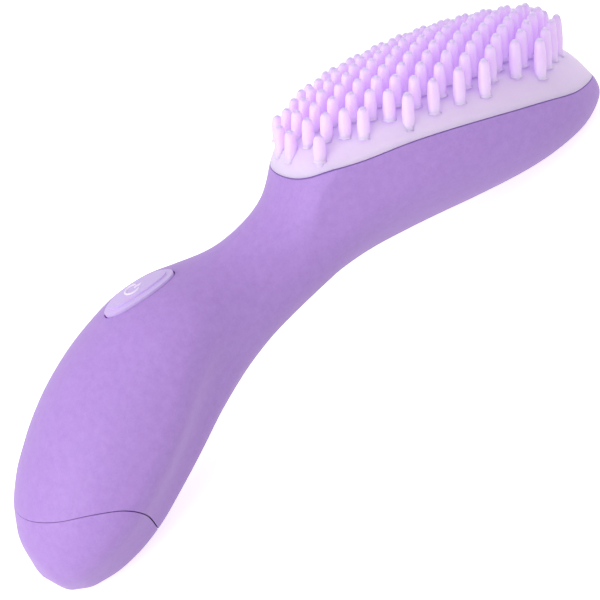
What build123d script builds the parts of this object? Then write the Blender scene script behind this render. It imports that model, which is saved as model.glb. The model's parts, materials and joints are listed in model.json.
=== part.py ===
from build123d import *
import os
from math import cos, radians, sin, sqrt, tan

# Facial cleansing brush: a soft-skinned arched body with a battery grip at one end, a slim neck,
# and a head that carries a silicone pad of bristle nubs.
# Millimetres. +X runs from the grip to the head, +Z is the bristle side, Z = 0 is the ground
# that the arched body rests on.

os.makedirs("parts", exist_ok=True)

# ---------------------------------------------------------------- driving dimensions
BODY_LENGTH = 168.0
GRIP_WIDTH = 40.8
NECK_WIDTH = 22.4
HEAD_WIDTH = 39.6
ARCH_SCALE = 1.0            # stretch of every height of the body outline

SKIN = 1.2                  # soft-touch skin over the housing
SKIN_GAP = 0.05             # between the skin and the housing it is stretched over
HOUSING_WALL = 2.0
SEAM_GAP = 0.3              # visible joint line between parts of the skin

GRIP_TILT = 19.0            # rise of the battery axis towards the neck, degrees
GRIP_AXIS_HEIGHT = 10.3     # height of the battery axis at the grip's end
CELL_DIAMETER = 10.5        # two AAA cells, side by side
CELL_LENGTH = 44.5
CELL_PITCH = 11.0
CELL_CLEARANCE = 0.2        # radial, cell in sleeve
CELL_START = 11.5           # from the grip's end, along the battery axis
SLEEVE_WALL = 1.0
SLEEVE_LIP = 2.4            # the sleeve starts this far inside the cells' outer ends
CONTACT_ROOM = 2.0          # between the cells' inner ends and the sleeve's end wall
SLEEVE_END_WALL = 1.0
CONTACT_THICKNESS = 0.4
CONTACT_REACH = 1.3         # from a contact plate to the cell it presses on
BRIDGE_GAP = 0.1            # between the cap's bridge contact and the cells
TERMINAL_LENGTH = 1.0       # of a cell's raised terminal
COLLAR_WALL = 1.3
COLLAR_CLEARANCE = 0.15
COLLAR_REACH = 14.0         # how far the cap's collar slides over the sleeve
RING_WIDTH = 1.4            # cap sealing ring, in a groove of the sleeve
RING_GROOVE = 0.5
RING_PLACE = 9.0            # from the sleeve's open end
CAP_BULKHEAD = 2.0
RIB_THICKNESS = 1.6
RIB_PLACES = (33.0, 52.0)   # ribs that hold the sleeve, along the battery axis

BUTTON_LENGTH = 17.4
BUTTON_WIDTH = 9.6
BUTTON_PLACE = -27.0        # X of the button's centre
BUTTON_TILT = 8.5           # lean of the button's face towards the head, degrees
BUTTON_GAP = 0.3
BUTTON_TRAVEL = 0.5
BUTTON_PROUD = 0.5          # rim height above the skin
BUTTON_DOME = 0.9           # height of the button's raised middle
BOARD_THICKNESS = 1.0
BOARD_LENGTH = 15.5
BOARD_WIDTH = 13.0
BOARD_REAR = 4.5            # how far the board reaches behind the button's centre
BOARD_DEPTH = 6.8           # from the button's face down to the board
SWITCH_SIZE = 6.0
SWITCH_HEIGHT = 2.0
STEM_DIAMETER = 3.0
STEM_HEIGHT = 0.6           # of the stem above the switch
STEM_ROOT = 0.6             # of the stem inside the switch
STEM_TRAVEL = 0.25
BUTTON_DEPTH = 1.9          # of the button below the skin's surface
PLUNGER_DIAMETER = 4.0
BUTTON_RIM = 1.5            # width of the flat band around the button's raised middle
PLUNGER_SOCKET = 0.6
CHIP_PLACE = 6.0            # middle of the chip, from the button's centre
BATTERY_LEAD_PLACE = 4.5
MOTOR_LEAD_PLACE = 10.0
LEAD_SPACING = 3.4
LEAD_BEND = 1.8
LEAD_END_GAP = 0.3          # solder between a lead's end and the board
SEAL_WIDTH = 1.4            # of the silicone seal around the button
SEAL_WEB = 0.5
PIN_CLEARANCE = 0.05

PAD_THICKNESS = 2.2
PAD_CLEARANCE = 0.1         # pad over its frame
PAD_FRAME_SKIRT = 3.0       # depth of the frame's rim below the pad
PAD_TILT = 34.0             # draw direction of the nubs, leaning towards the head's tip, degrees
NUB_PITCH = 3.1             # between neighbouring columns of nubs
NUB_SPACING = 5.6           # between the nubs of one column
NUB_ROOT_DIAMETER = 2.1
NUB_BELLY_DIAMETER = 2.5
NUB_TIP_DIAMETER = 1.7
NUB_BELLY_PLACE = 0.4       # share of a nub's length where it is thickest
NUB_SHORTEST = 4.5
NUB_LENGTH = 5.2            # of the nubs at the neck end of the pad
NUB_EXTRA_AT_TIP = 4.0      # the nubs grow longer towards the tip of the head
NUB_EDGE_MARGIN = 2.2       # bare skirt of the pad around the nubs
NUB_TIP_MARGIN = 0.5        # the foremost nubs end this far short of the head's tip
NUB_ROOT = 1.2              # depth of a nub's root inside the pad
NUB_COLUMNS = 14            # columns and rows tried on each side of the pad's middle
NUB_ROWS = 4

MOTOR_DIAMETER = 12.4
MOTOR_LENGTH = 20.0
MOTOR_TILT = 26.0
MOTOR_PLACE = 36.0          # X of the motor's middle
MOTOR_HEIGHT = 20.5
MOTOR_WALL = 0.7
MOTOR_END = 2.2             # thickness of the motor's plastic end cap
MAGNET_THICKNESS = 1.2
ROTOR_LENGTH = 11.0
ROTOR_CLEARANCE = 0.4
SHAFT_DIAMETER = 2.0
SHAFT_CLEARANCE = 0.05
WEIGHT_RADIUS = 4.8
WEIGHT_LENGTH = 5.5
WEIGHT_GAP = 1.5            # between the motor's face and the weight
CRADLE_WIDTH = 17.0
CRADLE_LENGTH = 13.0
CRADLE_CLEARANCE = 0.05

SCREW_DIAMETER = 2.2
SCREW_HEAD_DIAMETER = 4.0
SCREW_HEAD_HEIGHT = 1.4
SCREW_LENGTH = 8.0
SCREW_CLEARANCE = 0.15
BOSS_DIAMETER = 5.0
HOUSING_SCREW_PLACES = [(-49.0, 14.8), (-12.5, 5.8), (4.0, 5.0)]   # X and half spacing
HOUSING_SCREW_SEAT = 2.6    # plastic between a screw's head and the parting line
PAD_SCREW_PLACES = [(33.0, 11.5), (61.0, 10.5)]
PAD_SCREW_SEAT = 0.4        # head's underside below the pad's line
PAD_RIM_WALL = 1.8
FRAME_CLEARANCE = 0.1
LEAD_DIAMETER = 1.1

# Outline of the body, across stations from the grip's end to the head's tip:
# station, crown height, keel height, half width, height of the widest line,
# half width and height of the rounded back, lean of the back's flank in degrees.
DRAWN_LENGTH = 168.0
STATIONS = [
    (0.0, 11.8, 9.2, 1.6, 10.6, 1.1, 9.8, 45),
    (1.0, 16.4, 5.5, 5.6, 11.3, 4.0, 8.0, 45),
    (4.0, 22.6, 2.0, 10.9, 12.5, 7.6, 5.9, 43),
    (9.0, 28.4, 0.3, 15.4, 14.0, 10.6, 5.4, 40),
    (16.6, 33.9, 0.2, 18.9, 16.2, 12.8, 5.8, 36),
    (24.6, 38.5, 1.6, 20.3, 18.2, 13.4, 7.2, 32),
    (34.6, 42.4, 4.5, 20.4, 21.6, 12.4, 10.0, 26),
    (44.6, 44.4, 7.7, 19.6, 26.0, 12.4, 14.6, 20),
    (53.6, 44.7, 10.7, 18.0, 30.8, 11.8, 18.8, 16),
    (61.6, 43.1, 12.9, 15.6, 33.4, 11.2, 21.6, 18),
    (68.6, 40.4, 14.5, 13.1, 32.0, 10.2, 20.8, 30),
    (75.6, 38.2, 15.3, 11.6, 28.1, 8.6, 19.2, 42),
    (82.6, 37.6, 15.7, 11.2, 26.7, 8.0, 18.7, 45),
    (88.6, 38.1, 15.6, 11.5, 27.5, 8.3, 18.9, 45),
    (92.6, 39.1, 15.2, 11.9, 30.0, 8.8, 19.4, 44),
    (96.6, 41.5, 14.6, 12.6, 33.8, 9.6, 20.0, 44),
    (101.6, 44.3, 13.6, 14.0, 36.9, 10.8, 20.4, 44),
    (109.6, 44.4, 11.4, 16.3, 37.6, 12.2, 19.0, 44),
    (117.6, 43.0, 9.0, 18.3, 35.2, 13.2, 16.4, 44),
    (126.6, 40.2, 6.1, 19.5, 31.4, 14.0, 13.0, 44),
    (135.6, 36.8, 3.6, 19.8, 26.8, 14.4, 9.6, 44),
    (143.6, 33.0, 1.7, 19.1, 22.2, 14.0, 7.0, 44),
    (151.6, 28.6, 0.4, 17.1, 17.2, 12.6, 5.0, 44),
    (157.6, 24.7, 0.0, 14.3, 13.0, 10.6, 3.8, 44),
    (162.6, 20.4, 0.7, 10.2, 9.3, 7.6, 3.3, 44),
    (166.4, 13.9, 2.2, 5.6, 6.4, 4.2, 3.6, 44),
    (168.0, 6.4, 4.0, 1.6, 5.1, 1.1, 4.5, 44),
]
GRIP_ENDS = 61.6            # stations up to here follow GRIP_WIDTH
HEAD_BEGINS = 101.6         # stations from here follow HEAD_WIDTH
DRAWN_GRIP_WIDTH = 40.8
DRAWN_NECK_WIDTH = 22.4
DRAWN_HEAD_WIDTH = 39.6
END_BLEND = 16.0            # length of each end over which the inner outlines draw in
ROUND = 0.5523              # handle of a cubic curve that stands for a quarter circle
FLANK = 0.36                # handle of the flank curves, as a share of their chord
CURVE_STEPS = (6, 3, 3)     # points taken along a section's crown, flank and back curves
NOSE_SECTIONS = [0.0, 0.35, 1.0, 2.2, 4.0, 6.2]
SECTION_STEP = 3.54         # between the sections in the middle stretch
MIDDLE_SECTIONS = [9.0 + SECTION_STEP * count for count in range(43)]
SECTIONS = NOSE_SECTIONS + MIDDLE_SECTIONS + [DRAWN_LENGTH - place for place in reversed(NOSE_SECTIONS)]

# Line of the joint between pad and body, seen from the side: station and height.
PAD_LINE = [
    (94.9, 44.9), (95.9, 42.1), (101.6, 40.5), (109.6, 37.9), (117.6, 35.3), (126.6, 31.5),
    (135.6, 26.9), (143.6, 22.3), (151.6, 17.3), (157.6, 13.1), (162.6, 10.2), (166.6, 8.2),
    (170.0, 6.5),
]

# Line of the joint between grip and battery cap, seen along the battery axis from the side:
# distance from the grip's end and height above the axis.
CAP_LINE = [
    (4.0, 13.8), (8.2, 12.9), (10.9, 11.7), (14.4, 9.5), (17.8, 7.3), (21.5, 4.0), (24.3, -0.1),
    (25.0, -3.4), (24.3, -7.8), (22.2, -13.0), (19.6, -18.5), (17.6, -23.0),
]


PARTING_BEND = 62.0         # where the housings' parting line leaves the battery axis
NECK_PARTING = 26.8         # height of the parting line through the neck


# ---------------------------------------------------------------- frames of reference
def cubic(start, leave, arrive, end, share):
    """Point of a cubic curve at a share of its way."""
    rest = 1 - share
    weights = (rest**3, 3 * rest**2 * share, 3 * rest * share**2, share**3)
    corners = (start, leave, arrive, end)
    return tuple(sum(weight * value for weight, value in zip(weights, axis)) for axis in zip(*corners))


def along(station):
    """X of a station."""
    return station * BODY_LENGTH / DRAWN_LENGTH - BODY_LENGTH / 2


def widen(station):
    """Stretch of the half widths at a station, blended through the neck."""
    grip = GRIP_WIDTH / DRAWN_GRIP_WIDTH
    neck = NECK_WIDTH / DRAWN_NECK_WIDTH
    head = HEAD_WIDTH / DRAWN_HEAD_WIDTH
    middle = (GRIP_ENDS + HEAD_BEGINS) / 2
    if station <= middle:
        share = min(1.0, max(0.0, (station - GRIP_ENDS) / (middle - GRIP_ENDS)))
        return grip + (neck - grip) * share
    share = min(1.0, (station - middle) / (HEAD_BEGINS - middle))
    return neck + (head - neck) * share


def tilted(place, height, lean):
    """Plane square to a line in the middle plane that rises by `lean`; its normal runs to +X."""
    normal = (cos(radians(lean)), 0, sin(radians(lean)))
    return Plane(origin=(place, 0, height), x_dir=(0, 1, 0), z_dir=normal)


GRIP_FRAME = tilted(along(0) + 0.2, GRIP_AXIS_HEIGHT, GRIP_TILT)
MOTOR_FRAME = tilted(MOTOR_PLACE, MOTOR_HEIGHT, -MOTOR_TILT)


def slope_at(index, column):
    """Slope of one outline value at a station, from its neighbours on both sides."""
    here = STATIONS[index]
    before = STATIONS[max(0, index - 1)]
    after = STATIONS[min(len(STATIONS) - 1, index + 1)]
    steps = [(here[column] - before[column], here[0] - before[0]),
             (after[column] - here[column], after[0] - here[0])]
    steps = [step for step in steps if step[1] > 0]
    if len(steps) == 1:
        return steps[0][0] / steps[0][1]
    (rise_before, run_before), (rise_after, run_after) = steps
    return (rise_before / run_before * run_after + rise_after / run_after * run_before) / (run_before + run_after)


def outline_at(station):
    """Outline values anywhere along the body, on smooth curves through the stations."""
    index = 0
    while index < len(STATIONS) - 2 and STATIONS[index + 1][0] <= station:
        index += 1
    before, after = STATIONS[index], STATIONS[index + 1]
    run = after[0] - before[0]
    share = (station - before[0]) / run
    values = [station]
    for column in range(1, len(before)):
        leave = before[column] + slope_at(index, column) * run / 3
        arrive = after[column] - slope_at(index + 1, column) * run / 3
        values.append(cubic((before[column],), (leave,), (arrive,), (after[column],), share)[0])
    return values


def crown_at(x, y=0.0):
    """Height of the body's upper surface over a point."""
    station, crown, keel, half, crest, *_ = outline_at((x + BODY_LENGTH / 2) * DRAWN_LENGTH / BODY_LENGTH)
    reach = min(0.999, abs(y) / (half * widen(station)))
    return ARCH_SCALE * (crest + (crown - crest) * sqrt(1 - reach**2))


BUTTON_FRAME = Plane(
    origin=(BUTTON_PLACE, 0, crown_at(BUTTON_PLACE)),
    x_dir=(cos(radians(BUTTON_TILT)), 0, -sin(radians(BUTTON_TILT))),
    z_dir=(sin(radians(BUTTON_TILT)), 0, cos(radians(BUTTON_TILT))),
)


# ---------------------------------------------------------------- outline solids
def half_section(values, inset):
    """Points down one side of a section, from crown to keel, drawn in by `inset`."""
    station, crown, keel, half, crest, back, back_height, lean = values
    depth = min(inset * min(1.0, half / 9), 0.7 * (crown - crest))
    slope = radians(lean)
    fall = (-sin(slope), -cos(slope))
    top = (0, ARCH_SCALE * crown - depth)
    side = (half * widen(station) - depth, ARCH_SCALE * crest)
    flank = (back * widen(station) - depth * cos(slope), ARCH_SCALE * back_height + depth * sin(slope))
    bottom = (0, ARCH_SCALE * keel + depth)
    side_reach = FLANK * sqrt((side[0] - flank[0]) ** 2 + (side[1] - flank[1]) ** 2)
    back_reach = FLANK * sqrt(flank[0] ** 2 + (flank[1] - bottom[1]) ** 2)
    curves = [
        (top, (ROUND * side[0], top[1]), (side[0], side[1] + ROUND * (top[1] - side[1])), side),
        (side, (side[0], side[1] - side_reach),
         (flank[0] - fall[0] * side_reach, flank[1] - fall[1] * side_reach), flank),
        (flank, (flank[0] + fall[0] * back_reach, flank[1] + fall[1] * back_reach),
         (flank[0] / 2, bottom[1]), bottom),
    ]
    points = [top]
    for curve, steps in zip(curves, CURVE_STEPS):
        points += [cubic(*curve, step / steps) for step in range(1, steps + 1)]
    return points


def body_solid(inset):
    """The whole body's outline, drawn in by `inset`, as one solid."""
    with BuildPart() as solid:
        for station in SECTIONS:
            values = outline_at(station)
            near_end = max(0.0, 1 - min(station, DRAWN_LENGTH - station) / END_BLEND)
            inwards = 1 if station < DRAWN_LENGTH / 2 else -1
            points = half_section(values, inset)
            even = [count / (len(points) - 1) for count in range(len(points))]
            with BuildSketch(Plane.YZ.offset(along(station) + inwards * inset * near_end)):
                with BuildLine():
                    add(Edge.make_spline(points, [(1, 0), (-1, 0)], parameters=even))
                    Line(points[-1], points[0])
                make_face()
        loft()
        mirror(about=Plane.XZ)
    return solid.part


def side_zone(line, far_corners, shift=(0, 0)):
    """Everything on one side of a joint line, cut square across the body."""
    points = [(x + shift[0], z + shift[1]) for x, z in line]
    with BuildPart() as zone:
        with BuildSketch(Plane.XZ):
            with BuildLine():
                edge = Spline(*points)
                Polyline(edge @ 1, *far_corners, edge @ 0)
            make_face()
        extrude(amount=BODY_LENGTH / 2, both=True)
    return zone.part


def pad_zone(drop):
    """The space above the pad's joint line, lowered by `drop`."""
    line = [(along(station), ARCH_SCALE * height - drop) for station, height in PAD_LINE]
    return side_zone(line, [(BODY_LENGTH, line[-1][1]), (BODY_LENGTH, 90 * ARCH_SCALE),
                            (line[0][0], 90 * ARCH_SCALE)])


def cap_zone(shift):
    """The space outside the cap's joint line, shifted along the battery axis."""
    line = []
    for distance, rise in CAP_LINE:
        point = GRIP_FRAME.from_local_coords((0, rise, distance + shift))
        line.append((point.X, point.Z))
    return side_zone(line, [(line[-1][0], -40), (-BODY_LENGTH, -40), (-BODY_LENGTH, line[0][1])])


def split_zone():
    """The space under the parting line between the upper and lower housings."""
    foot = GRIP_FRAME.from_local_coords((0, 0, -20))
    bend = GRIP_FRAME.from_local_coords((0, 0, PARTING_BEND))
    neck = ARCH_SCALE * NECK_PARTING
    line = [(foot.X, foot.Z), (bend.X, bend.Z), (along(74), neck), (along(90), neck),
            (along(108), ARCH_SCALE * 44.5), (BODY_LENGTH, ARCH_SCALE * 44.5)]
    with BuildPart() as zone:
        with BuildSketch(Plane.XZ):
            with BuildLine():
                Polyline(*line, (BODY_LENGTH, -40), (line[0][0], -40), close=True)
            make_face()
        extrude(amount=BODY_LENGTH / 2, both=True)
    return zone.part


def finish_piece(piece, name):
    """Label a finished piece and write it to its own file."""
    piece.part.label = name
    export_step(piece.part, f"parts/{name}.step")


def grip_slot(radius, start, end):
    """Slot-shaped bar around both cells, along the battery axis."""
    with BuildPart() as bar:
        with BuildSketch(GRIP_FRAME.offset(start)):
            SlotCenterToCenter(CELL_PITCH, 2 * radius)
        extrude(amount=end - start)
    return bar.part


def oval_bar(length, width, bottom=-BODY_LENGTH, top=BODY_LENGTH):
    """Oval bar square to the button's face."""
    with BuildPart() as bar:
        with BuildSketch(BUTTON_FRAME.offset(bottom)):
            Ellipse(length / 2, width / 2)
        extrude(amount=top - bottom)
    return bar.part


def round_bar(frame, radius, start, end):
    """Round bar along a frame's normal."""
    with BuildPart() as bar:
        with BuildSketch(frame.offset(start)):
            Circle(radius)
        extrude(amount=end - start)
    return bar.part


def parting_height(x):
    """Height of the parting line between the housings."""
    if x < GRIP_FRAME.from_local_coords((0, 0, PARTING_BEND)).X:
        return GRIP_AXIS_HEIGHT + (x - GRIP_FRAME.origin.X) * tan(radians(GRIP_TILT))
    return ARCH_SCALE * NECK_PARTING


def pad_line_height(x):
    """Height of the pad's joint line at X."""
    places = [(along(station), ARCH_SCALE * height) for station, height in PAD_LINE]
    for (x_before, before), (x_after, after) in zip(places, places[1:]):
        if x_after >= x:
            break
    return before + (after - before) * (x - x_before) / (x_after - x_before)


outline = body_solid(0)
skin_inside = body_solid(SKIN)
housing_outside = body_solid(SKIN + SKIN_GAP)
housing_inside = body_solid(SKIN + SKIN_GAP + HOUSING_WALL)
fittings_outside = body_solid(SKIN + SKIN_GAP + HOUSING_WALL + FRAME_CLEARANCE)
above_pad_line = pad_zone(0)
above_pad_seat = pad_zone(SEAM_GAP)
beyond_cap_line = cap_zone(-SEAM_GAP)
beyond_cap_seat = cap_zone(0)
below_parting = split_zone()

# ---------------------------------------------------------------- skins
with BuildPart() as outer_skin:
    add(outline)
    add(skin_inside, mode=Mode.SUBTRACT)
    add(above_pad_seat, mode=Mode.SUBTRACT)
    add(beyond_cap_seat, mode=Mode.SUBTRACT)
    add(oval_bar(BUTTON_LENGTH + 2 * BUTTON_GAP, BUTTON_WIDTH + 2 * BUTTON_GAP, bottom=-4),
        mode=Mode.SUBTRACT)
finish_piece(outer_skin, "outer_skin")

with BuildPart() as battery_cap_skin:
    add(outline)
    add(skin_inside, mode=Mode.SUBTRACT)
    add(beyond_cap_line, mode=Mode.INTERSECT)
finish_piece(battery_cap_skin, "battery_cap_skin")

# ---------------------------------------------------------------- battery compartment
CELL_RADIUS = CELL_DIAMETER / 2
CELL_END = CELL_START + CELL_LENGTH
SLEEVE_START = CELL_START + SLEEVE_LIP
SLEEVE_BORE = CELL_RADIUS + CELL_CLEARANCE
SLEEVE_RADIUS = SLEEVE_BORE + SLEEVE_WALL
SLEEVE_WALL_START = CELL_END + CONTACT_ROOM
SLEEVE_END = SLEEVE_WALL_START + SLEEVE_END_WALL
COLLAR_BORE = SLEEVE_RADIUS + COLLAR_CLEARANCE
RING_START = SLEEVE_START + RING_PLACE

# Terminal tabs pass through the sleeve's end wall in two slots.
TAB_WIDTH = 2.4
TAB_LENGTH = 2.2

with BuildPart() as battery_sleeve:
    add(grip_slot(SLEEVE_RADIUS, SLEEVE_START, SLEEVE_END))
    add(grip_slot(SLEEVE_BORE, SLEEVE_START, SLEEVE_WALL_START), mode=Mode.SUBTRACT)
    add(grip_slot(SLEEVE_RADIUS + 1, RING_START, RING_START + RING_WIDTH)
        - grip_slot(SLEEVE_RADIUS - RING_GROOVE, RING_START, RING_START + RING_WIDTH), mode=Mode.SUBTRACT)
    with BuildSketch(GRIP_FRAME.offset(SLEEVE_WALL_START)):
        with GridLocations(CELL_PITCH, 0, 2, 1):
            Rectangle(TAB_WIDTH + 2 * PIN_CLEARANCE, CONTACT_THICKNESS + 2 * PIN_CLEARANCE)
    extrude(amount=SLEEVE_END_WALL, mode=Mode.SUBTRACT)
finish_piece(battery_sleeve, "battery_sleeve")

with BuildPart() as cap_seal_ring:
    add(grip_slot(COLLAR_BORE - 0.02, RING_START, RING_START + RING_WIDTH))
    fillet(cap_seal_ring.edges(), 0.25)
    add(grip_slot(SLEEVE_RADIUS - RING_GROOVE, RING_START, RING_START + RING_WIDTH), mode=Mode.SUBTRACT)
finish_piece(cap_seal_ring, "cap_seal_ring")


def battery_cell(side, terminal_outwards):
    """One cell: a can with rounded shoulders and a raised terminal at one end."""
    offset = TERMINAL_LENGTH if terminal_outwards else 0
    body_start = CELL_START + offset
    terminal_start = CELL_START if terminal_outwards else CELL_END - TERMINAL_LENGTH
    centre = Plane(GRIP_FRAME.from_local_coords((side * CELL_PITCH / 2, 0, 0)),
                   x_dir=GRIP_FRAME.x_dir, z_dir=GRIP_FRAME.z_dir)
    with BuildPart() as cell:
        add(round_bar(centre, CELL_RADIUS, body_start, body_start + CELL_LENGTH - TERMINAL_LENGTH))
        fillet(cell.edges().filter_by(GeomType.CIRCLE), 0.6)
        add(round_bar(centre, 1.9, terminal_start, terminal_start + TERMINAL_LENGTH))
    return cell


cell_left = battery_cell(1, terminal_outwards=False)
finish_piece(cell_left, "battery_cell_left")
cell_right = battery_cell(-1, terminal_outwards=True)
finish_piece(cell_right, "battery_cell_right")


def contact_bump(side, plate_face, direction, base_radius, top_radius):
    """Coned bump on a contact plate, pressing on a cell's end."""
    reach = direction * CONTACT_REACH
    centre = Plane(GRIP_FRAME.from_local_coords((side * CELL_PITCH / 2, 0, plate_face)),
                   x_dir=GRIP_FRAME.x_dir, z_dir=GRIP_FRAME.z_dir)
    with BuildPart() as bump:
        with BuildSketch(centre):
            Circle(base_radius)
        with BuildSketch(centre.offset(reach)):
            Circle(top_radius)
        loft()
    return bump.part


def inner_contact(side, base_radius, top_radius):
    """Contact plate on the sleeve's end wall, with a tab through it and a bump towards the cell."""
    plate_face = CELL_END + CONTACT_REACH
    centre = Plane(GRIP_FRAME.from_local_coords((side * CELL_PITCH / 2, 0, plate_face)),
                   x_dir=GRIP_FRAME.x_dir, z_dir=GRIP_FRAME.z_dir)
    with BuildPart() as contact:
        with BuildSketch(centre):
            RectangleRounded(8.0, 7.0, 1.0)
        extrude(amount=CONTACT_THICKNESS)
        with BuildSketch(centre):
            Rectangle(TAB_WIDTH, CONTACT_THICKNESS)
        extrude(amount=SLEEVE_END - plate_face + TAB_LENGTH)
        add(contact_bump(side, plate_face, -1, base_radius, top_radius))
    return contact


positive_contact = inner_contact(1, 2.2, 1.2)
finish_piece(positive_contact, "positive_contact")
negative_contact = inner_contact(-1, 3.2, 2.0)
finish_piece(negative_contact, "negative_contact")

# ---------------------------------------------------------------- battery cap
BRIDGE_FACE = CELL_START - CONTACT_REACH - BRIDGE_GAP
BULKHEAD_END = BRIDGE_FACE - CONTACT_THICKNESS

with BuildPart() as cap_bridge_contact:
    with BuildSketch(GRIP_FRAME.offset(BULKHEAD_END)):
        RectangleRounded(CELL_PITCH + 7.0, 7.0, 1.5)
    extrude(amount=CONTACT_THICKNESS)
    add(contact_bump(1, BRIDGE_FACE, 1, 3.2, 2.0))
    add(contact_bump(-1, BRIDGE_FACE, 1, 2.2, 1.2))
finish_piece(cap_bridge_contact, "cap_bridge_contact")

with BuildPart() as cap_hollow:
    add(housing_inside)
    with BuildSketch(GRIP_FRAME.offset(BULKHEAD_END - CAP_BULKHEAD)):
        Rectangle(2 * GRIP_WIDTH, 2 * GRIP_WIDTH)
    extrude(amount=CAP_BULKHEAD, mode=Mode.SUBTRACT)
    add(grip_slot(COLLAR_BORE + COLLAR_WALL, BULKHEAD_END - 1, SLEEVE_START + COLLAR_REACH),
        mode=Mode.SUBTRACT)

with BuildPart() as battery_cap_core:
    add(housing_outside)
    add(beyond_cap_line, mode=Mode.INTERSECT)
    add(cap_hollow.part, mode=Mode.SUBTRACT)
    add(grip_slot(COLLAR_BORE + COLLAR_WALL, SLEEVE_START, SLEEVE_START + COLLAR_REACH))
    add(grip_slot(COLLAR_BORE, BULKHEAD_END, SLEEVE_START + COLLAR_REACH), mode=Mode.SUBTRACT)
finish_piece(battery_cap_core, "battery_cap_core")

# ---------------------------------------------------------------- housings
def housing_post(x, y):
    """Upright post for a housing screw, from wall to wall."""
    return round_bar(Plane((x, y, 0)), BOSS_DIAMETER / 2, 0, BODY_LENGTH / 2)


def pad_screw_frame(x, y):
    """Frame of a pad screw: its normal is the nubs' draw direction."""
    lean = radians(PAD_TILT)
    return Plane((x, y, pad_line_height(x)), x_dir=(cos(lean), 0, -sin(lean)), z_dir=(sin(lean), 0, cos(lean)))


def board_post_frame(x, y):
    """Frame of a board post: it starts at the board's upper face."""
    return Plane(BUTTON_FRAME.from_local_coords((x, y, -BOARD_DEPTH)), x_dir=BUTTON_FRAME.x_dir,
                 z_dir=BUTTON_FRAME.z_dir)


housing_screws_at = [(x, side * y) for x, y in HOUSING_SCREW_PLACES for side in (1, -1)]
pad_screws_at = [(x, side * y) for x, y in PAD_SCREW_PLACES for side in (1, -1)]
BOARD_POSTS = [(BOARD_LENGTH - BOARD_REAR - 1.8, side * (BOARD_WIDTH / 2 - 1.8)) for side in (1, -1)]
POST_RADIUS = 1.3
PIN_RADIUS = 0.6
HOUSING_HOLE = SEAL_WIDTH + 2 * PIN_CLEARANCE

with BuildPart() as sleeve_ribs:
    for place in RIB_PLACES:
        with BuildSketch(GRIP_FRAME.offset(place)):
            Rectangle(2 * GRIP_WIDTH, 2 * GRIP_WIDTH)
        extrude(amount=RIB_THICKNESS)
    add(grip_slot(SLEEVE_RADIUS + PIN_CLEARANCE, 0, SLEEVE_END + 1), mode=Mode.SUBTRACT)

with BuildPart() as housing_hollow:
    add(housing_inside)
    add(sleeve_ribs.part, mode=Mode.SUBTRACT)
    for x, y in housing_screws_at:
        add(housing_post(x, y), mode=Mode.SUBTRACT)
    for x, y in BOARD_POSTS:
        add(round_bar(board_post_frame(x, y), POST_RADIUS, 0, 12), mode=Mode.SUBTRACT)
    for x, y in pad_screws_at:
        add(round_bar(pad_screw_frame(x, y), BOSS_DIAMETER / 2, -BODY_LENGTH / 2, 5)
            - pad_zone(PAD_FRAME_SKIRT + PIN_CLEARANCE), mode=Mode.SUBTRACT)

with BuildPart() as housing:
    add(housing_outside)
    add(housing_hollow.part, mode=Mode.SUBTRACT)
    add(pad_zone(PIN_CLEARANCE), mode=Mode.SUBTRACT)
    add(beyond_cap_seat, mode=Mode.SUBTRACT)
    add(oval_bar(BUTTON_LENGTH + 2 * HOUSING_HOLE, BUTTON_WIDTH + 2 * HOUSING_HOLE, bottom=-6),
        mode=Mode.SUBTRACT)

with BuildPart() as upper_housing:
    add(housing.part)
    add(below_parting, mode=Mode.SUBTRACT)
    for x, y in BOARD_POSTS:
        add(round_bar(board_post_frame(x, y), PIN_RADIUS, -BOARD_THICKNESS, 0.5))
    for x, y in housing_screws_at:
        seat = parting_height(x) - HOUSING_SCREW_SEAT
        add(round_bar(Plane((x, y, seat)), SCREW_DIAMETER / 2, 0, SCREW_LENGTH), mode=Mode.SUBTRACT)
finish_piece(upper_housing, "upper_housing")

with BuildPart() as lower_housing:
    add(housing.part)
    add(below_parting, mode=Mode.INTERSECT)
    for x, y in housing_screws_at:
        seat = Plane((x, y, parting_height(x) - HOUSING_SCREW_SEAT))
        add(round_bar(seat, SCREW_DIAMETER / 2 + SCREW_CLEARANCE, 0, 9), mode=Mode.SUBTRACT)
        add(round_bar(seat, SCREW_HEAD_DIAMETER / 2 + SCREW_CLEARANCE, -60, 0), mode=Mode.SUBTRACT)
    for x, y in pad_screws_at:
        add(round_bar(pad_screw_frame(x, y), SCREW_DIAMETER / 2, -PAD_SCREW_SEAT - SCREW_LENGTH, 0),
            mode=Mode.SUBTRACT)
finish_piece(lower_housing, "lower_housing")


def screw(seat, direction):
    """Screw with a round head; the shank runs along `direction` from the seat."""
    with BuildPart() as fastener:
        add(round_bar(seat, SCREW_HEAD_DIAMETER / 2, 0, -direction * SCREW_HEAD_HEIGHT))
        add(round_bar(seat, SCREW_DIAMETER / 2, 0, direction * SCREW_LENGTH))
        with BuildSketch(seat.offset(-direction * SCREW_HEAD_HEIGHT)):
            for turn in (0, 90):
                Rectangle(2.2, 0.5, rotation=turn)
        extrude(amount=direction * 0.7, mode=Mode.SUBTRACT)
    return fastener.part


with BuildPart() as housing_screws:
    for x, y in housing_screws_at:
        add(screw(Plane((x, y, parting_height(x) - HOUSING_SCREW_SEAT)), 1))
finish_piece(housing_screws, "housing_screws")

# ---------------------------------------------------------------- head: pad and its frame
pad_inside = body_solid(PAD_THICKNESS)
frame_outside = body_solid(PAD_THICKNESS + PAD_CLEARANCE)
rim_inside = body_solid(SKIN + SKIN_GAP + HOUSING_WALL + FRAME_CLEARANCE + PAD_RIM_WALL)

with BuildPart() as pad_frame_hollow:
    add(rim_inside)
    for x, y in pad_screws_at:
        add(round_bar(pad_screw_frame(x, y), BOSS_DIAMETER / 2, -12, 12), mode=Mode.SUBTRACT)

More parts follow.
